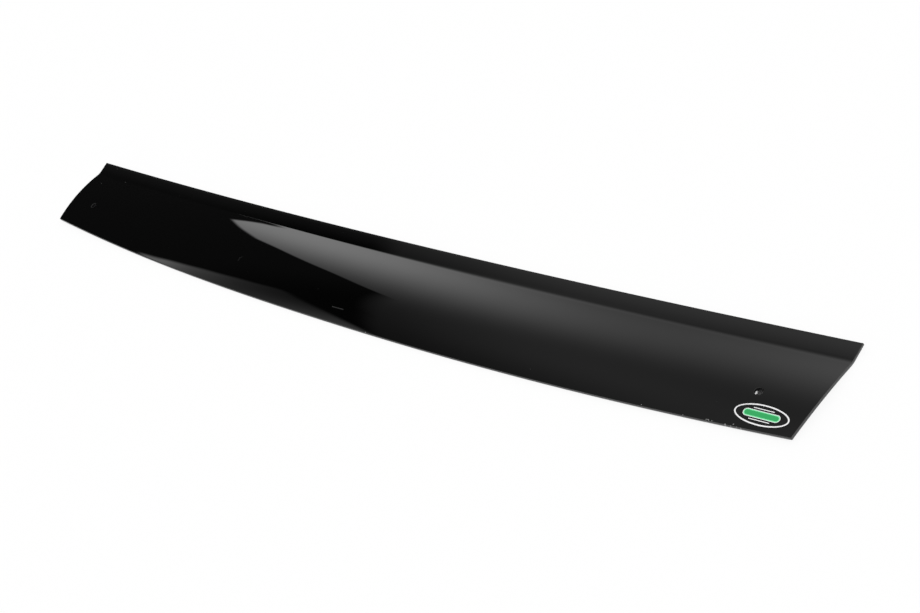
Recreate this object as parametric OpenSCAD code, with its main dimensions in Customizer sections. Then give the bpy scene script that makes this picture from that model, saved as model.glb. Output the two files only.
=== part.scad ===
// Hood deflector: one thermoformed sheet of black acrylic with an oval label near one end.
// X runs along its length, Y to the rear lip, Z up. It lies crown up, as it comes to rest on a table:
// the bend behind the crown touches along its length, and the front edge touches at mid length.

/* [Sheet] */
// Length between the two rear corners
length = 1300; // [900:10:1600]
// Thickness of the acrylic sheet
thickness = 4; // [3:0.5:6]
// Chamfer that breaks every cut edge, the rims of the holes too
edge_break = 0.8; // [0.3:0.1:1.2]

/* [Section] */
// Width of the rear lip, from its edge to the middle of the bend
lip = 22; // [16:1:40]
// Angle that the lip is bent up from the body
fold = 19.5; // [10:0.5:30]
// Radius of the bend, on the upper side
bend_r = 24; // [10:1:40]
// Width of the body at the two ends, measured round its crown
body = 103.5; // [80:0.5:160]
// Radius of the crown, on the upper side
crown_r = 305; // [250:5:500]

/* [Plan] */
// How far the whole sheet bows forward at mid length
bow = 12; // [0:1:30]
// How much wider the body is at mid length than at the ends
belly = 17; // [4:1:30]
// Power of the front edge's curve, fuller towards the ends as it grows
fullness = 2.4; // [2:0.1:3]
// How far the front corners stand in from the rear ones
rake = 15.5; // [0:0.5:30]
// Rise of each end cut's curve over its chord
end_bulge = 2; // [0:0.5:5]

/* [Screw holes] */
// Diameter of the hole near each end
hole_d = 8.5; // [6:0.5:14]
// Distance from the end cut to the hole's centre
hole_in = 60.5; // [50:0.5:90]
// Distance from the front edge to the hole's centre
hole_up = 44.5; // [40:0.5:60]

/* [Label] */
// Length of the oval label
label_l = 58.5; // [40:0.5:70]
// Height of the oval label
label_h = 24.5; // [16:0.5:26]
// Thickness of the label
label_t = 0.3; // [0.2:0.1:0.6]
// Distance from the end cut to the label's centre
label_in = 41; // [37:0.5:80]
// Distance from the front edge to the label's centre
label_up = 18; // [16:0.5:24]

/* [Hidden] */

// Degrees in one radian
rad = 180 / PI;

// Faces along the length, across the lip, round the bend and round the crown
n_len = 36;
n_lip = 2;
n_bend = 6;
n_body = 14;

// The bend takes half of its arc from the lip and half from the body
bend_len = bend_r * fold / rad;
lip_end = lip - bend_len / 2;
bend_end = lip + bend_len / 2;

// Width round the section at place u, from -1 at the left end to 1 at the right end
function girth(u) = lip + body + belly * (1 - pow(abs(u), fullness));

// Half length at fraction v of the width, from 0 at the rear edge to 1 at the front edge
function half_length(v) = length / 2 - rake * v + end_bulge * 4 * v * (1 - v);

// Slope of the section at distance s from the rear edge, in degrees. start is the lip's slope
function slope(s, start) =
    s < lip_end ? start :
    s < bend_end ? start - (s - lip_end) / bend_r * rad :
    start - fold + (s - bend_end) / crown_r * rad;

// Step along an arc that curves upwards by radius r, from slope a to slope b, going forward
function arc_step(r, a, b) = [r * (sin(b) - sin(a)), r * (cos(a) - cos(b))];

// Section of the upper side as [y, z]: a flat lip, the bend's arc and the crown's arc
function section(s, start) =
    let (
        a = slope(s, start),
        low = start - fold,
        lip_point = -min(s, lip_end) * [cos(start), sin(start)])
    s < lip_end ? lip_point :
    s < bend_end ? lip_point + arc_step(bend_r, start, a) :
    lip_point + arc_step(bend_r, start, low) + arc_step(-crown_r, low, a);

// Point at depth d below the upper side of the section
function below(s, start, d) =
    let (a = slope(s, start))
    section(s, start) + d * [sin(a), -cos(a)];

// With the lip level, the table is the line from the front edge's lower corner at mid length
// that touches the underside of the bend, an arc about bend_centre. Its angle is the lip's slope at rest
bend_centre = [-lip_end, bend_r];
front_low = below(girth(0) - edge_break, 0, thickness);
reach = bend_centre - front_low;
rest_slope = asin((bend_r + thickness) / norm(reach)) - atan2(reach[1], reach[0]);

// Point of the sheet at place u along it and distance s from the rear edge, d below the upper side
function place(u, s, d) =
    let (p = below(s, rest_slope, d))
    [u * half_length(s / girth(u)), p[0] - bow * (1 - u * u), p[1]];

// Place of a point on the right half by its distances from the end cut and from the front edge
function place_from(from_end, from_front) = 1 - from_end / half_length(1 - from_front / girth(1));

// Distances from the rear edge at which the section is drawn, between the two edge chamfers
function rows(u) =
    let (front = girth(u) - edge_break)
    concat(
        [for (k = [0 : n_lip - 1]) edge_break + (lip_end - edge_break) * k / n_lip],
        [for (k = [0 : n_bend - 1]) lip_end + bend_len * k / n_bend],
        [for (k = [0 : n_body]) bend_end + (front - bend_end) * k / n_body]);

// Places along the length, with one more at each end for the chamfer
inset = edge_break / (length / 2);
stations = concat([-1], [for (i = [0 : n_len]) (1 - inset) * (2 * i / n_len - 1)], [1]);

// One closed ring round the sheet: the upper row from rear to front, then the lower row back
function ring(u) =
    let (
        tip = abs(u) == 1 ? edge_break : 0,
        width = girth(u),
        s = rows(u),
        upper = [for (x = s) place(u, x, tip)],
        lower = [for (k = [len(s) - 1 : -1 : 0]) place(u, s[k], thickness - tip)])
    concat(
        [place(u, 0, edge_break)], upper, [place(u, width, edge_break)],
        [place(u, width, thickness - edge_break)], lower, [place(u, 0, thickness - edge_break)]);

// Ring of a thin layer that lies on the upper side
function layer_ring(u) =
    let (s = rows(u))
    concat(
        [for (x = s) place(u, x, -label_t)],
        [for (k = [len(s) - 1 : -1 : 0]) place(u, s[k], 0)]);

// Triangles of a skin through rings of m points, closed by a strip across each end.
// Both rows cut their squares along the same diagonal, so that a layer fits what it lies on.
function skin(rings, m) =
    let (half = m / 2, last = (rings - 1) * m)
    concat(
        [for (i = [0 : rings - 2], k = [0 : m - 1])
            let (
                next = (k + 1) % m,
                a = i * m + k, b = i * m + next,
                c = a + m, d = b + m)
            each k < half ? [[a, d, b], [a, c, d]] : [[a, c, b], [b, c, d]]],
        [for (k = [0 : half - 2])
            let (a = k, b = k + 1, c = m - 1 - k, d = m - 2 - k)
            each [[a, b, c], [b, d, c]]],
        [for (k = [0 : half - 2])
            let (a = last + k, b = a + 1, c = last + m - 1 - k, d = c - 1)
            each [[a, c, b], [b, c, d]]]);

module loft(rings) {
    polyhedron(
        points = [for (r = rings) each r],
        faces = skin(len(rings), len(rings[0])),
        convexity = 4);
}

// Origin: middle of the outline in plan, on the table
sheet_rings = [for (u = stations) ring(u)];
sheet_y = [for (r = sheet_rings, p = r) p[1]];
sheet_z = [for (r = sheet_rings, p = r) p[2]];
middle = (min(sheet_y) + max(sheet_y)) / 2;
table = min(sheet_z);

module on_table() {
    translate([0, -middle, -table]) children();
}

// Frame on the upper side at distance from_end from the end cut and from_front from the front edge,
// with Z along the sheet's normal. side is 1 for the right end and -1 for the left end
module on_sheet(side, from_end, from_front) {
    u = place_from(from_end, from_front);
    s = girth(u) - from_front;
    translate(place(side * u, s, 0)) rotate([slope(s, rest_slope), 0, 0]) children();
}

// Cutter for a hole through the sheet, centred on the upper side, that breaks both rims
module drill() {
    wide = hole_d + 4 * edge_break;
    cylinder(d = hole_d, h = 6 * thickness, center = true, $fn = 48);
    translate([0, 0, -edge_break])
        cylinder(d1 = hole_d, d2 = wide, h = 2 * edge_break, $fn = 48);
    translate([0, 0, -thickness - edge_break])
        cylinder(d1 = wide, d2 = hole_d, h = 2 * edge_break, $fn = 48);
}

// The sheet, trimmed to shape and drilled square to its surface near each end
module deflector() {
    color([0.02, 0.02, 0.02])
    on_table()
    difference() {
        loft(sheet_rings);
        for (side = [-1, 1])
            on_sheet(side, hole_in, hole_up) drill();
    }
}

// Outline of the label
module oval(l, h) {
    polygon([for (a = [0 : 6 : 354]) [l / 2 * cos(a), h / 2 * sin(a)]]);
}

// A thin oval label that follows the crown, cut from a layer over the stretch of sheet beneath it
module label() {
    centre = place_from(label_in, label_up);
    spread = label_l / length + 3 / n_len;
    color([0.1, 0.1, 0.1])
    on_table()
    intersection() {
        loft([for (u = stations) if (abs(u - centre) < spread) layer_ring(u)]);
        on_sheet(1, label_in, label_up)
            linear_extrude(height = 6 * thickness, center = true)
                oval(label_l, label_h);
    }
}

deflector();
label();
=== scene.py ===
import bmesh
import bpy
import numpy as np
from mathutils import Matrix, Vector


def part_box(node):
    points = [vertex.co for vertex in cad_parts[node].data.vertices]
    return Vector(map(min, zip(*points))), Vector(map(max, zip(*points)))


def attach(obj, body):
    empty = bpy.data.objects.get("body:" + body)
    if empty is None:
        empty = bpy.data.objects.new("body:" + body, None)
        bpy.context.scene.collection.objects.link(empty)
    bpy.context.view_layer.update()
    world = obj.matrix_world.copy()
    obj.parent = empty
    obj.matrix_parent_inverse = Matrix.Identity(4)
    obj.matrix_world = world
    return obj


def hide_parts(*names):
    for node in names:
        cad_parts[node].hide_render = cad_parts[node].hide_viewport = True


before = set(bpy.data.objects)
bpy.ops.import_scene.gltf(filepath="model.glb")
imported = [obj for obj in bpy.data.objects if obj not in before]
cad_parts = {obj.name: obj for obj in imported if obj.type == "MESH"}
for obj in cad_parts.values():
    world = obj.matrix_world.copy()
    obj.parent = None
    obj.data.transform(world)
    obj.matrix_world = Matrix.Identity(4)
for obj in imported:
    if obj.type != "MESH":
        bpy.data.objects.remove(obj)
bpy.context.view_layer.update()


# The deflector is one sheet of black cast acrylic, routed to its outline, drilled near both ends and
# then thermoformed: a flat rear lip, a soft bend and a crowned body that bows forward at mid length.
# Its faces keep the gloss of the cast sheet, and the cut edges and rims have only a sanding finish; a highlight on
# their upper rounding and shade on the hole walls are painted into their colour.
MM = 0.001
low_corner, high_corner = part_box("deflector")
LENGTH = high_corner.x - low_corner.x
THICKNESS = 4 * MM
ROUND = 0.8 * MM
LIP = 22 * MM
FOLD = np.radians(19.5)
BEND_R = 24 * MM
BODY = 103.5 * MM
CROWN_R = 305 * MM
BOW = 12 * MM
BELLY = 17 * MM
FULLNESS = 2.4
RAKE = 15.5 * MM
END_BULGE = 2 * MM
HOLE_R = 4.25 * MM
HOLE_IN = 60.5 * MM
HOLE_UP = 44.5 * MM
BEND_LEN = BEND_R * FOLD
LIP_END = LIP - BEND_LEN / 2
SHARP_R = 0.3 * MM
SHARP_FROM = -450 * MM
SHARP_TO = -150 * MM
SOFT_LEFT = -570 * MM
SOFT_RIGHT = 200 * MM


def girth(u):
    """Width round the section at place u, -1 to 1 along the length:
    lip + body + belly * (1 - |u| ^ fullness)."""
    return LIP + BODY + BELLY * (1 - np.abs(u) ** FULLNESS)


def half_length(v):
    """Half length at share v of the width, 0 at the rear edge and 1 at the front:
    half of the length - rake * v + bulge * 4 v (1 - v)."""
    return LENGTH / 2 - RAKE * v + END_BULGE * 4 * v * (1 - v)


def section(s, rest):
    """Upper side as y, z and slope at distance s from the rear edge: a straight line, then an arc that
    curves up by the bend's radius, then an arc that curves down by the crown's. rest is the lip's slope."""
    low = rest - FOLD
    lip = np.minimum(s, LIP_END)
    bend = rest - np.clip(s - LIP_END, 0, BEND_LEN) / BEND_R
    crown = low + np.maximum(s - LIP_END - BEND_LEN, 0) / CROWN_R
    y = -lip * np.cos(rest) + BEND_R * (np.sin(bend) - np.sin(rest)) - CROWN_R * (np.sin(crown) - np.sin(low))
    z = -lip * np.sin(rest) + BEND_R * (np.cos(rest) - np.cos(bend)) - CROWN_R * (np.cos(low) - np.cos(crown))
    return y, z, bend + crown - low


def resting_slope():
    """Slope of the lip when the sheet lies on a table: the line from the front edge's lower corner at
    mid length that touches the underside of the bend, a circle of radius bend + thickness."""
    y, z, slope = section(girth(0) - ROUND, 0)
    reach_y = -LIP_END - (y + THICKNESS * np.sin(slope))
    reach_z = BEND_R - (z - THICKNESS * np.cos(slope))
    return np.arcsin((BEND_R + THICKNESS) / np.hypot(reach_y, reach_z)) - np.arctan2(reach_z, reach_y)


REST_SLOPE = resting_slope()


def ripple(x, s):
    """Waviness that thermoforming leaves in the sheet: three sine waves of slightly different run,
    a few hundredths of a millimetre high."""
    return MM * (
        0.020 * np.sin(x / 0.047 + 1.1) * np.cos(s / 0.026 + 0.4)
        + 0.008 * np.sin(x / 0.019 - s / 0.021 + 2.0)
        + 0.003 * np.sin(x / 0.0113 + s / 0.013))


def lifted(s, length):
    """Height over the line of the lip where the fold is spread evenly over a length about the lip's end:
    the slope grows from 0 to the fold along it, and the height is the area under that slope."""
    along_fold = np.clip(s - LIP + length / 2, 0, length)
    return FOLD * (along_fold ** 2 / (2 * length) + np.maximum(s - LIP - length / 2, 0))


def crease(x, s):
    """How far the upper side lies below the bend's arc where its fold is sharper: over one stretch left of
    the middle, past whose ends its radius grows evenly to that of the bend."""
    radius = np.interp(x, (SOFT_LEFT, SHARP_FROM, SHARP_TO, SOFT_RIGHT), (BEND_R, SHARP_R, SHARP_R, BEND_R))
    return lifted(s, BEND_LEN) - lifted(s, radius * FOLD)


def bent(u, s, depth):
    """Point at place u, distance s from the rear edge and depth below the upper side: the section's
    point moved by depth along the normal, then back by the bow's parabola."""
    y, z, slope = section(s, REST_SLOPE)
    x = u * half_length(s / girth(u))
    sunk = depth + crease(x, s) * (1 - depth / THICKNESS) + ripple(x, s)
    y = y + sunk * np.sin(slope) - BOW * (1 - u * u)
    z = z - sunk * np.cos(slope)
    return np.stack(np.broadcast_arrays(x, y, z), axis=-1)


rear_y = bent(1.0, 0.0, THICKNESS - ROUND)[1]
front_y = bent(0.0, girth(0.0), ROUND)[1]
table_z = bent(0.0, girth(0.0) - ROUND, THICKNESS)[2]
SHIFT = np.array([0, (low_corner.y + high_corner.y - rear_y - front_y) / 2, low_corner.z - table_z])


def place(u, s, depth):
    """Point of the sheet in the frame, with the middle of its outline and the table where they are there."""
    return bent(u, s, depth) + SHIFT


def along(x, s):
    """Place u of a point given by x and s: x over the half length, repeated, as that depends on u."""
    u = x / (LENGTH / 2)
    for _ in range(8):
        u = x / half_length(s / girth(u))
    return u


def spot(from_end, from_front):
    """x and s of a point on the right half by its distances from the end cut and the front edge."""
    width = girth(1.0)
    u = 1 - from_end / half_length(1 - from_front / width)
    s = girth(u) - from_front
    return u * half_length(s / girth(u)), s


RIM_STEPS = 6
SUPPORT = 0.3 * MM
rim = np.linspace(0, np.pi / 2, RIM_STEPS + 1)
rim_in = ROUND * (1 - np.sin(rim))
rim_down = ROUND * (1 - np.cos(rim))
rim_cut = np.clip(rim / np.radians(60), 0, 1)

hole_x, hole_s = spot(HOLE_IN, HOLE_UP)
hole_u = along(hole_x, hole_s)
PATCH = 9.5 * MM / (LENGTH / 2)
PATCH_STEPS = 14
BODY_STEPS = 64
PATCH_ROWS = 12

end_u = 1 - rim_in / (LENGTH / 2)
inner = np.concatenate([
    np.linspace(0, hole_u - PATCH, 150)[1:-1],
    np.linspace(hole_u - PATCH, hole_u + PATCH, PATCH_STEPS + 1),
    np.linspace(hole_u + PATCH, end_u[0] - SUPPORT / (LENGTH / 2), 18)[1:]])
right_u = np.concatenate([inner, end_u])
stations = np.concatenate([-right_u[::-1], [0], right_u])
end_down = np.concatenate([rim_down[::-1], np.zeros(2 * len(inner) + 1), rim_down])
end_cut = np.concatenate([rim_cut[::-1], np.zeros(2 * len(inner) + 1), rim_cut])


def rows(u):
    """Distances from the rear edge at which the upper side is drawn: fixed over the lip and the bend,
    where they close up to the fold by the square of the distance, and in equal shares of what is left
    over the body, with one close row inside each rim."""
    front = girth(u) - ROUND - SUPPORT
    lip = np.concatenate([[ROUND], np.linspace(ROUND + SUPPORT, LIP_END, 9)[:-1]])
    half_bend = BEND_LEN / 2 * np.linspace(0, 1, 13) ** 2
    bend = LIP + np.concatenate([-half_bend[:0:-1], half_bend[:-1]])
    share = np.linspace(0, 1, BODY_STEPS + 1)
    body = LIP_END + BEND_LEN + (front - LIP_END - BEND_LEN)[:, None] * share
    fixed = np.broadcast_to(np.concatenate([lip, bend]), (len(u), len(lip) + len(bend)))
    return np.concatenate([fixed, body, front[:, None] + SUPPORT], axis=1)


upper_s = rows(stations)
row_count = upper_s.shape[1]
rear_rim = np.broadcast_to(rim_in[:0:-1], (len(stations), RIM_STEPS))
front_rim = girth(stations)[:, None] - rim_in[1:]
half_s = np.concatenate([rear_rim, upper_s, front_rim], axis=1)
share_down = np.concatenate([rim_down[:0:-1], np.zeros(row_count), rim_down[1:]]) / ROUND
half_down = end_down[:, None] + (ROUND - end_down[:, None]) * share_down
half_cut = np.maximum(end_cut[:, None], np.concatenate([rim_cut[:0:-1], np.zeros(row_count), rim_cut[1:]]))

ring_s = np.concatenate([half_s, half_s[:, ::-1]], axis=1)
ring_down = np.concatenate([half_down, THICKNESS - half_down[:, ::-1]], axis=1)
ring_cut = np.concatenate([half_cut, half_cut[:, ::-1]], axis=1)
ring_u = np.broadcast_to(stations[:, None], ring_s.shape)
ring_x = ring_u * half_length(ring_s / girth(ring_u))
count, ring_len = ring_s.shape
index = np.arange(count * ring_len).reshape(count, ring_len)

points = [place(ring_u, ring_s, ring_down).reshape(-1, 3)]
flat = [np.stack([ring_x, ring_s, ring_down], axis=-1).reshape(-1, 3)]
cut = [ring_cut.reshape(-1)]
bored = [np.zeros(ring_cut.size)]

ahead = np.roll(index, -1, axis=1)
quads = np.stack([index[:-1], ahead[:-1], ahead[1:], index[1:]], axis=-1)
keep = np.ones(quads.shape[:2], bool)
half = ring_len // 2
mirrored = index[:, ::-1]
caps = []
for end, order in ((0, (0, 3, 2, 1)), (count - 1, (0, 1, 2, 3))):
    strip = np.stack([index[end, :half - 1], index[end, 1:half], mirrored[end, 1:half], mirrored[end, :half - 1]], axis=-1)
    caps.append(strip[:, order])


def bore(side):
    """Rings of points that lead from a square of the upper side in to the hole's rim, round it, down the
    wall, round the lower rim and out to the same square of the lower side. Between square and rim a
    point lies on the straight line from one to the other, in the flat sheet."""
    first = int(np.argmin(np.abs(stations - (side * hole_u - PATCH))))
    last = first + PATCH_STEPS
    middle_station = (first + last) // 2
    near = int(np.argmin(np.abs(half_s[middle_station] - hole_s)))
    rear, front = near - PATCH_ROWS // 2, near + PATCH_ROWS // 2
    i = np.concatenate([
        np.arange(first, last), np.full(front - rear, last),
        np.arange(last, first, -1), np.full(front - rear, first)])
    k = np.concatenate([
        np.full(last - first, rear), np.arange(rear, front),
        np.full(last - first, front), np.arange(front, rear, -1)])
    keep[first:last, rear:front] = False
    keep[first:last, ring_len - 1 - front:ring_len - 1 - rear] = False
    outer_x, outer_s = ring_x[i, k], ring_s[i, k]
    turn = np.arctan2(outer_s - hole_s, outer_x - side * hole_x)
    share = np.array([0.3, 0.55, 0.75, 0.88, 0.96])[:, None]
    rim_x = side * hole_x + (HOLE_R + rim_in[:, None]) * np.cos(turn)
    rim_s = hole_s + (HOLE_R + rim_in[:, None]) * np.sin(turn)
    x = np.concatenate([outer_x + (rim_x[0] - outer_x) * share, rim_x])
    s = np.concatenate([outer_s + (rim_s[0] - outer_s) * share, rim_s])
    down = np.concatenate([np.zeros(len(share)), rim_down])
    edge = np.concatenate([np.zeros(len(share)), rim_cut])
    x, s = np.concatenate([x, x[::-1]]), np.concatenate([s, s[::-1]])
    down = np.broadcast_to(np.concatenate([down, THICKNESS - down[::-1]])[:, None], x.shape)
    edge = np.broadcast_to(np.concatenate([edge, edge[::-1]])[:, None], x.shape)
    start = sum(len(p) for p in points)
    inside = start + np.arange(x.size).reshape(x.shape)
    points.append(place(along(x, s), s, down).reshape(-1, 3))
    flat.append(np.stack([x, s, down], axis=-1).reshape(-1, 3))
    cut.append(edge.reshape(-1))
    bored.append(np.ones(edge.size))
    levels = np.concatenate([index[i, k][None], inside, mirrored[i, k][None]])
    turned = np.roll(levels, -1, axis=1)
    return np.stack([levels[:-1], levels[1:], turned[1:], turned[:-1]], axis=-1).reshape(-1, 4)


bores = [bore(-1), bore(1)]
faces = np.concatenate([quads[keep], *caps, *bores])


def surface(name, points, faces, **values):
    """Object from arrays of points and faces, smooth, with each array in values kept as a point attribute."""
    mesh = bpy.data.meshes.new(name)
    mesh.from_pydata(points.tolist(), [], faces if isinstance(faces, list) else faces.tolist())
    mesh.shade_smooth()
    for key, array in values.items():
        kind, field = ("FLOAT", "value") if array.ndim == 1 else ("FLOAT_VECTOR", "vector")
        made = mesh.attributes.new(key, kind, "POINT")
        made.data.foreach_set(field, array.astype(np.float32).ravel())
    piece = bpy.data.objects.new(name, mesh)
    bpy.context.scene.collection.objects.link(piece)
    return piece


class Link:
    """A value inside a shader. Arithmetic on it adds Math nodes, and node() adds any other node."""

    def __init__(self, tree, socket=None):
        self.tree = tree
        self.socket = socket

    def node(self, kind, values, output=0, **settings):
        """Adds a node. Settings are set first, then values or links go to its sockets."""
        made = self.tree.nodes.new("ShaderNode" + kind)
        for name, value in settings.items():
            setattr(made, name, value)
        for key, value in values.items():
            if isinstance(value, Link):
                self.tree.links.new(value.socket, made.inputs[key])
            else:
                made.inputs[key].default_value = value
        return Link(self.tree, made.outputs[output])

    def maths(self, operation, first, second=0.0, clamp=False):
        return self.node("Math", {0: first, 1: second}, operation=operation, use_clamp=clamp)

    def __add__(self, other):
        return self.maths("ADD", self, other)

    def __sub__(self, other):
        return self.maths("SUBTRACT", self, other)

    def __rsub__(self, other):
        return self.maths("SUBTRACT", other, self)

    def __mul__(self, other):
        return self.maths("MULTIPLY", self, other)

    def __truediv__(self, other):
        return self.maths("DIVIDE", self, other)

    def __pow__(self, other):
        return self.maths("POWER", self, other)

    def __abs__(self):
        return self.maths("ABSOLUTE", self)

    __radd__, __rmul__ = __add__, __mul__

    def least(self, other):
        return self.maths("MINIMUM", self, other)

    def most(self, other):
        return self.maths("MAXIMUM", self, other)

    def fade(self, start, end):
        """0 at start and 1 at end, smooth between them and held outside. end may be the smaller one."""
        flipped = end < start
        low, high, before, after = (end, start, 1.0, 0.0) if flipped else (start, end, 0.0, 1.0)
        return self.node("MapRange", {0: self, 1: low, 2: high, 3: before, 4: after}, interpolation_type="SMOOTHSTEP")

    def blend(self, first, second):
        """Colour mixed from first to second as this goes from 0 to 1."""
        return self.node("Mix", {0: self, 6: first, 7: second}, output=2, data_type="RGBA")

    def parts(self):
        """The three numbers of a vector."""
        split = self.node("SeparateXYZ", {0: self})
        return [Link(self.tree, out) for out in split.socket.node.outputs]


def finish_of(name, **fixed):
    """A new material with one Principled shader, whose fixed sockets are set here, and a Link to its tree."""
    material = bpy.data.materials.new(name)
    material.use_nodes = True
    shader = material.node_tree.nodes["Principled BSDF"]
    for socket, value in fixed.items():
        shader.inputs[socket.replace("_", " ")].default_value = value
    return material, shader, Link(material.node_tree)


def feed(shader, **values):
    """Joins links to a shader's sockets, by the socket's name with _ for a space."""
    for socket, value in values.items():
        value.tree.links.new(value.socket, shader.inputs[socket.replace("_", " ")])


def grey(level):
    return (level, level, level, 1.0)


def stroke(x, s, start, end, width):
    """1 on a stroke of that width from start to end and 0 off it, by the distance to the nearest point
    of the line. Points are x and s in millimetres."""
    run = np.subtract(end, start)
    length = float(np.hypot(*run))
    step_x, step_s = run / length
    from_x, from_s = x - start[0] * MM, s - start[1] * MM
    gone = (from_x * step_x + from_s * step_s).most(0.0).least(length * MM)
    off_x, off_s = from_x - gone * step_x, from_s - gone * step_s
    return ((off_x * off_x + off_s * off_s) ** 0.5).fade(width * MM, width * MM / 3)


def dot(x, s, middle_x, middle_s, radius):
    """1 on a round mark and 0 off it, by the distance to its middle. Numbers are in millimetres."""
    off_x, off_s = x - middle_x * MM, s - middle_s * MM
    return ((off_x * off_x + off_s * off_s) ** 0.5).fade(radius * MM, radius * MM / 3)


# Small chips in the front edge, most of them near the label: x, s and radius in millimetres.
CHIPS = (
    (81, 141.5, 0.8), (472.5, 132, 0.6), (520.5, 131, 0.6), (546, 131, 0.6), (552, 129, 0.7),
    (566.5, 129, 1.1), (572.5, 129, 0.5), (574.5, 126.5, 0.8), (578.5, 128.5, 0.5), (583, 128.5, 0.6))


def acrylic():
    """Black acrylic: polished faces, a little dusty, with a painted sheen on the lip and a few light marks; cut edges
    with a sanding finish, a painted highlight along their upper rounding and painted shade on the hole walls.
    """
    material, shader, tree = finish_of("black_acrylic", IOR=1.49)
    spot_of = tree.node("Attribute", {}, "Vector", attribute_name="flat")
    x, s, depth = spot_of.parts()
    edge = tree.node("Attribute", {}, "Fac", attribute_name="cut")
    bored = tree.node("Attribute", {}, "Fac", attribute_name="bored")
    where = tree.node("TexCoord", {}, "Object")

    scuffs = (
        stroke(x, s, (7, 122), (26.5, 121.5), 0.8)
        .most(stroke(x, s, (-202, 99), (-203, 94.5), 0.5) * 0.8)
        .most(stroke(x, s, (-203, 94.5), (-200, 91), 0.5) * 0.8)
        .most(stroke(x, s, (-613.5, 5.5), (-612, 5.5), 0.9))
        .most(stroke(x, s, (-571.5, 23.5), (-568, 24), 0.5))
        .most(stroke(x, s, (-619, 40), (-615, 40.5), 0.5)))
    scuffs = scuffs * depth.fade(0.2 * MM, 0.1 * MM)
    chips = stroke(x, s, (545.5, 129), (548, 128.5), 0.4).most(stroke(x, s, (548, 128.5), (549, 129.5), 0.4))
    for chip in CHIPS:
        chips = chips.most(dot(x, s, *chip))

    specks = tree.node("TexVoronoi", {"Vector": where, "Scale": 60.0}, "Distance")
    specks = specks.fade(0.022, 0.012) * (1.0 - edge)
    haze = tree.node("TexNoise", {"Vector": where, "Scale": 14.0, "Detail": 4.0, "Roughness": 0.6}, "Fac")
    grain = tree.node("TexNoise", {"Vector": where, "Scale": 900.0, "Detail": 3.0}, "Fac")

    # Painted sheen, partly dirt: the lip, more so to the right, and a band along the rear edge are painted lighter, as
    # a dusty film and as the lip's sheen.
    dust_and_sheen = s.fade(24 * MM, 2 * MM) * (0.25 + x.fade(-200 * MM, 600 * MM) * 0.75)
    dust_and_sheen = dust_and_sheen + s.fade(6 * MM, 0.5 * MM) * 0.4
    face = dust_and_sheen.blend(grey(0.0012), grey(0.0135))
    face = specks.blend(face, grey(0.06))
    face = scuffs.blend(face, grey(0.026))
    painted_lit_arris = (1.0 - abs(edge * 2.0 - 1.0)) * depth.fade(1.4 * MM, 0.6 * MM)
    sanded_and_painted_light = grain.fade(0.3, 0.7).blend(grey(0.014), grey(0.031))
    # Painted highlight: along the upper rounding of the cut edges, away from the rear edge, a thin line is painted
    # light grey.
    sanded_and_painted_light = (painted_lit_arris * s.fade(10 * MM, 30 * MM)).blend(sanded_and_painted_light, grey(0.14))
    # Painted shade: inside the holes the wall is painted near black, and only the rims' upper rounding keeps a sanding
    # grey.
    sanded_and_painted_light = bored.blend(sanded_and_painted_light, painted_lit_arris.blend(grey(0.003), grey(0.030)))
    colour = edge.blend(face, sanded_and_painted_light)
    colour = chips.blend(colour, grey(0.30))
    polish = 0.012 + haze.fade(0.45, 0.75) * 0.012 + scuffs * 0.3 + specks * 0.5
    rough = polish + edge * (0.34 + grain * 0.2 - polish)
    rough = rough.most(chips * 0.6)
    bump = tree.node("Bump", {"Height": grain, "Strength": edge * 0.25, "Distance": 0.0001})
    feed(shader, Base_Color=colour, Roughness=rough, Normal=bump)
    return material


sheet = surface(
    "deflector_sheet", np.concatenate(points), faces,
    flat=np.concatenate(flat), cut=np.concatenate(cut), bored=np.concatenate(bored))
sheet.data.materials.append(acrylic())
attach(sheet, "root")
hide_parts("deflector")


# The label is a thin oval of printed vinyl film, stuck on near the right front corner. It is printed
# on black with a white line near its edge, and a plain green bar lies across it between two white rules.
LABEL_L = 58.5 * MM
LABEL_H = 24.5 * MM
LABEL_T = 0.3 * MM
LABEL_IN = 41 * MM
LABEL_UP = 18 * MM
label_x, label_s = spot(LABEL_IN, LABEL_UP)


def film():
    """Points, faces and print coordinates of the film: ovals inside one another from the middle out to a
    rounded edge and back under it. A point on an oval is half length * cos(a), half height * sin(a)."""
    turn = np.linspace(0, 2 * np.pi, 144, endpoint=False)
    share = np.linspace(0, 1, 13)[1:]
    bevel = np.linspace(0, np.pi / 2, 5)[1:]
    rounding = LABEL_T / 2
    size = np.concatenate([share, np.ones(len(bevel) + 1), share[-2::-1]])[:, None]
    inset = np.concatenate([
        np.full(len(share), rounding), rounding * (1 - np.sin(bevel)), np.zeros(1), np.zeros(len(share) - 1)])[:, None]
    height = np.concatenate([
        np.full(len(share), LABEL_T), LABEL_T - rounding * (1 - np.cos(bevel)), np.zeros(1), np.zeros(len(share) - 1)])
    a = (LABEL_L / 2 - inset) * size * np.cos(turn)
    b = (LABEL_H / 2 - inset) * size * np.sin(turn)
    high = np.broadcast_to(height[:, None], a.shape)
    a = np.concatenate([a.ravel(), [0, 0]])
    b = np.concatenate([b.ravel(), [0, 0]])
    high = np.concatenate([high.ravel(), [LABEL_T, 0]])
    x, s = label_x + a, label_s - b
    points = place(along(x, s), s, -high)
    rings = np.arange(len(size) * len(turn)).reshape(len(size), len(turn))
    turned = np.roll(rings, -1, axis=1)
    quads = np.stack([rings[:-1], rings[1:], turned[1:], turned[:-1]], axis=-1).reshape(-1, 4)
    top, bottom = rings.size, rings.size + 1
    fans = [(top, i, j) for i, j in zip(rings[0], turned[0])] + [(bottom, j, i) for i, j in zip(rings[-1], turned[-1])]
    faces = quads.tolist() + [tuple(int(v) for v in f) for f in fans]
    return points, faces, np.stack([a, b, high], axis=-1)


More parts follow.
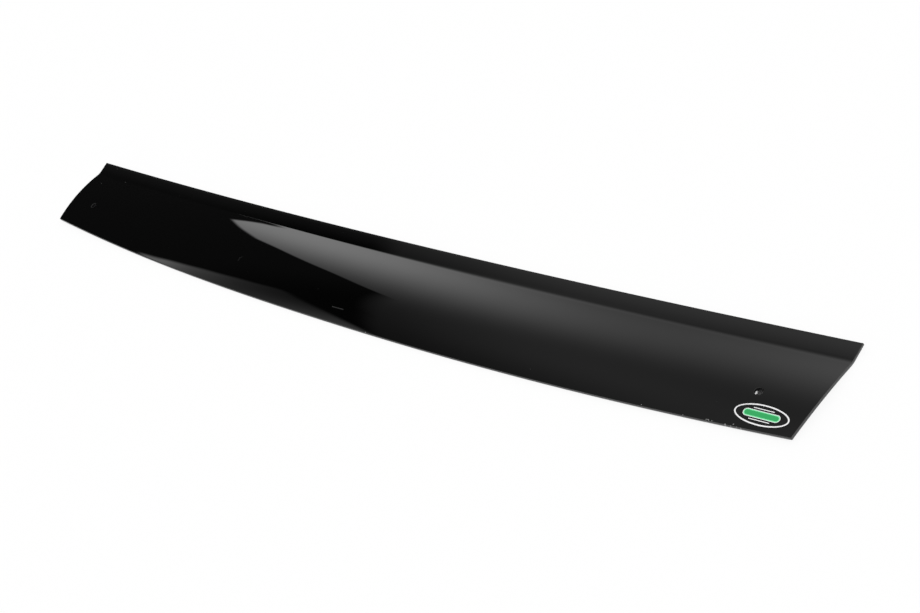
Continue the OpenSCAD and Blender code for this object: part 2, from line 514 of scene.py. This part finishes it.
def bar(a, b, middle, size):
    """Signed distance to a bar with round ends, below 0 inside it: the distance to its middle line
    less half of its height. Numbers are in millimetres."""
    reach = (size[0] - size[1]) / 2
    off_a = (abs(a - middle[0] * MM) - reach * MM).most(0.0)
    off_b = b - middle[1] * MM
    return (off_a * off_a + off_b * off_b) ** 0.5 - size[1] / 2 * MM


def oval(a, b, inset):
    """1 on an oval that lies inset millimetres inside the film's edge, and less within it: the root of
    (a / half length)^2 + (b / half height)^2."""
    return ((a / (LABEL_L / 2 - inset * MM)) ** 2.0 + (b / (LABEL_H / 2 - inset * MM)) ** 2.0) ** 0.5


def printed_film():
    """Print on vinyl: a black ground, a white oval line, and a green bar with a pale edge between two
    thin white ones."""
    material, shader, tree = finish_of("label_film", IOR=1.49, Roughness=0.10)
    a, b, high = tree.node("Attribute", {}, "Vector", attribute_name="print").parts()
    oval_line = oval(a, b, 2.0).fade(0.99, 1.01) * oval(a, b, 0.5).fade(1.01, 0.99)
    rules = bar(a, b, (0, 6.4), (22, 0.9)).least(bar(a, b, (0, -6.4), (22, 0.9)))
    green = bar(a, b, (0, 0), (38, 7.6))
    white = oval_line.most(rules.fade(0.05 * MM, -0.05 * MM)).most(green.fade(0.55 * MM, 0.45 * MM))
    colour = white.blend(grey(0.003), grey(0.93))
    colour = green.fade(0.05 * MM, -0.05 * MM).blend(colour, (0.27, 0.86, 0.45, 1.0))
    colour = green.fade(-0.95 * MM, -1.05 * MM).blend(colour, (0.035, 0.41, 0.12, 1.0))
    feed(shader, Base_Color=colour)
    return material


film_points, film_faces, film_print = film()
label = surface("label_film", film_points, film_faces, print=film_print)
label.data.materials.append(printed_film())
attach(label, "root")
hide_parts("label")


# The camera looks along the sheet from beyond its right front corner and leans to one side.
AIM = Vector((0.1780, -0.0023, 0))
AZIMUTH = np.radians(57.85)
ELEVATION = np.radians(40.85)
DISTANCE = 1.5102
ROLL = np.radians(-30.57)


def camera():
    """Camera at a distance from the aim, by azimuth and elevation, turned about its own axis by the roll."""
    back = Vector((
        np.sin(AZIMUTH) * np.cos(ELEVATION), -np.cos(AZIMUTH) * np.cos(ELEVATION), np.sin(ELEVATION)))
    level = Vector((0, 0, 1)).cross(back).normalized()
    upright = back.cross(level)
    right = level * np.cos(ROLL) + upright * np.sin(ROLL)
    top = back.cross(right)
    data = bpy.data.cameras.new("camera")
    data.lens = 50
    data.sensor_width = 36
    made = bpy.data.objects.new("camera", data)
    made.matrix_world = Matrix.Translation(AIM + back * DISTANCE) @ Matrix((right, top, back)).transposed().to_4x4()
    bpy.context.scene.collection.objects.link(made)
    bpy.context.scene.camera = made


camera()


# The studio: a white floor, soft white light with a key lamp to the right, and a tent of dim cloth far
# outside it that only gloss shows. Behind the cloth are soft lamps, and a dark panel stands before it.
FLOOR_SIZE = 60.0
TENT_R = 100.0
LAMPS = (
    (-53, 25, 7, 1.9), (-50, 37, 6, 0.45), (-20, 38, 11, 1.35), (-63, 51, 6, 0.2), (-50, 80, 14, 0.75),
    (60, 30, 14, 0.9), (90, 45, 9, 1.3), (140, 24, 12, 0.7), (-165, 34, 16, 0.9), (-120, 30, 12, 0.4),
    (130, 30, 45, 0.15))
PANEL_TOP = ((-81, 46), (-73.5, 44), (-62.5, 39.7))
PANEL_SIDE = ((-62.5, 39.7), (-60, 29), (-57.4, 23.7))
PANEL_FAR = ((-92, 20), (-96, 60))
PANEL_FOOT = ((-57.4, 23.7), (-55, 22.65), (-30, 22.65))
FOOT_END = ((-16, 40), (-16, 0))
WINDOW = ((-81.5, 45), (-76.5, 40.5), (-82.5, 35.5))
WINDOW_SILL = 34.3
WINDOW_LAMP = (-90, 47, 4, 1.2)
DAYLIGHT = 1.3
DAYLIGHT_FROM = 36
DAYLIGHT_FALL = 1.6
KEY_AZIMUTH = np.radians(106)
KEY_ELEVATION = np.radians(41)
KEY_STRENGTH = 3.2
SKY_STRENGTH = 0.3


def glow(direction, azimuth, elevation, width, strength):
    """A soft lamp behind the cloth: strength * e ^ ((cosine to its middle - 1) / width squared)."""
    a, e = np.radians(azimuth), np.radians(elevation)
    middle = (np.sin(a) * np.cos(e), np.cos(a) * np.cos(e), np.sin(e))
    cosine = direction.node("VectorMath", {0: direction, 1: middle}, "Value", operation="DOT_PRODUCT")
    return direction.maths("EXPONENT", (cosine - 1.0) / np.radians(width) ** 2) * strength


def beyond(azimuth, elevation, start, end):
    """Degrees that a direction lies to the right of the line from start to end."""
    run, rise = end[0] - start[0], end[1] - start[1]
    return ((azimuth - start[0]) * rise - (elevation - start[1]) * run) / float(np.hypot(run, rise))


def tent_cloth():
    """Light of the tent by direction from the middle of the floor. Azimuth runs from the rear to the right
    and elevation up, both in degrees."""
    material = bpy.data.materials.new("tent_cloth")
    material.use_nodes = True
    tree = material.node_tree
    tree.nodes.clear()
    start = Link(tree)
    where = start.node("TexCoord", {}, "Object")
    direction = start.node("VectorMath", {0: where}, operation="NORMALIZE")
    x, y, z = direction.parts()
    azimuth = start.maths("ARCTAN2", x, y) * np.degrees(1.0)
    elevation = start.maths("ARCSINE", z) * np.degrees(1.0)

    cloth = glow(direction, *LAMPS[0])
    for lamp in LAMPS[1:]:
        cloth = cloth + glow(direction, *lamp)
    near = beyond(azimuth, elevation, *PANEL_FAR).fade(-2, 2)
    under = beyond(azimuth, elevation, *PANEL_TOP[:2]).least(beyond(azimuth, elevation, *PANEL_TOP[1:]))
    within = beyond(azimuth, elevation, *PANEL_SIDE[:2]).most(beyond(azimuth, elevation, *PANEL_SIDE[1:]))
    panel = under.fade(-0.8, 0.8) * within.fade(-0.2, 0.2) * near
    low = beyond(azimuth, elevation, *PANEL_FOOT[:2]).most(beyond(azimuth, elevation, *PANEL_FOOT[1:]))
    foot = low.fade(-0.25, 0.25) * beyond(azimuth, elevation, *FOOT_END).fade(-2, 2) * near
    window = (
        beyond(azimuth, elevation, *WINDOW[:2]).fade(-0.6, 0.6)
        * beyond(azimuth, elevation, *WINDOW[1:]).fade(-0.6, 0.6)
        * (elevation - WINDOW_SILL).fade(-0.6, 0.6))
    fall = start.maths("EXPONENT", ((DAYLIGHT_FROM - elevation) / DAYLIGHT_FALL).least(0.0))
    seen_out = fall * DAYLIGHT + glow(direction, *WINDOW_LAMP)
    felt = elevation.fade(42, 35.5) * 0.023
    open_cloth = (1.0 - panel) * (1.0 - foot)
    light = cloth * open_cloth + felt * (1.0 - open_cloth) + window * seen_out * panel * (1.0 - foot)
    emission = start.node("Emission", {"Strength": light})
    out = tree.nodes.new("ShaderNodeOutputMaterial")
    tree.links.new(emission.socket, out.inputs["Surface"])
    return material


def tent():
    """A ball of cloth round the studio, which only glossy rays see."""
    mesh = bpy.data.meshes.new("tent")
    ball = bmesh.new()
    bmesh.ops.create_uvsphere(ball, u_segments=48, v_segments=24, radius=TENT_R)
    ball.to_mesh(mesh)
    ball.free()
    mesh.materials.append(tent_cloth())
    made = bpy.data.objects.new("tent", mesh)
    bpy.context.scene.collection.objects.link(made)
    for ray in ("camera", "diffuse", "transmission", "volume_scatter", "shadow"):
        setattr(made, "visible_" + ray, False)


def floor():
    """White paper: it shows white to the camera and in gloss, less a soft share of the sheet's shadow.
    Below the holes, where the sheet covers it, it keeps the whole shadow."""
    corner = FLOOR_SIZE / 2
    square = np.array([[-corner, -corner, 0], [corner, -corner, 0], [corner, corner, 0], [-corner, corner, 0]])
    made = surface("floor", square, [(0, 1, 2, 3)])
    material, shader, tree = finish_of("floor_paper", Base_Color=grey(0.95), Roughness=1.0, Specular_IOR_Level=0.0)
    rays = tree.node("LightPath", {}, "Is Camera Ray")
    outputs = rays.socket.node.outputs
    seen = rays.most(Link(tree.tree, outputs["Is Glossy Ray"])).most(Link(tree.tree, outputs["Is Transmission Ray"]))
    x, y, z = tree.node("TexCoord", {}, "Object").parts()
    off_x, off_y = abs(x) - hole_x, y - float(place(hole_u, hole_s, 0.0)[1])
    open_floor = ((off_x * off_x + off_y * off_y) ** 0.5).fade(22 * MM, 32 * MM)
    lit = tree.node("Emission", {"Strength": 1.05})
    mixed = tree.node("MixShader", {0: seen * open_floor * 0.6, 1: Link(tree.tree, shader.outputs[0]), 2: lit})
    out = tree.tree.nodes["Material Output"]
    tree.tree.links.new(mixed.socket, out.inputs["Surface"])
    made.data.materials.append(material)


def key_lamp():
    """Soft lamp to the right, high up. Gloss shows the glow behind the tent's cloth in its place."""
    lamp = bpy.data.lights.new("key_lamp", "SUN")
    lamp.energy = KEY_STRENGTH
    lamp.angle = np.radians(6)
    made = bpy.data.objects.new("key_lamp", lamp)
    towards = Vector((
        np.sin(KEY_AZIMUTH) * np.cos(KEY_ELEVATION), np.cos(KEY_AZIMUTH) * np.cos(KEY_ELEVATION), np.sin(KEY_ELEVATION)))
    made.rotation_mode = "QUATERNION"
    made.rotation_quaternion = towards.to_track_quat("Z", "Y")
    made.visible_glossy = False
    bpy.context.scene.collection.objects.link(made)


def daylight():
    """Even white light from every side."""
    world = bpy.data.worlds.new("daylight")
    bpy.context.scene.world = world
    world.use_nodes = True
    world.node_tree.nodes["Background"].inputs["Color"].default_value = grey(1.0)
    world.node_tree.nodes["Background"].inputs["Strength"].default_value = SKY_STRENGTH
    world.cycles.sampling_method = "NONE"


tent()
floor()
key_lamp()
daylight()
bpy.context.scene.view_settings.view_transform = "Standard"
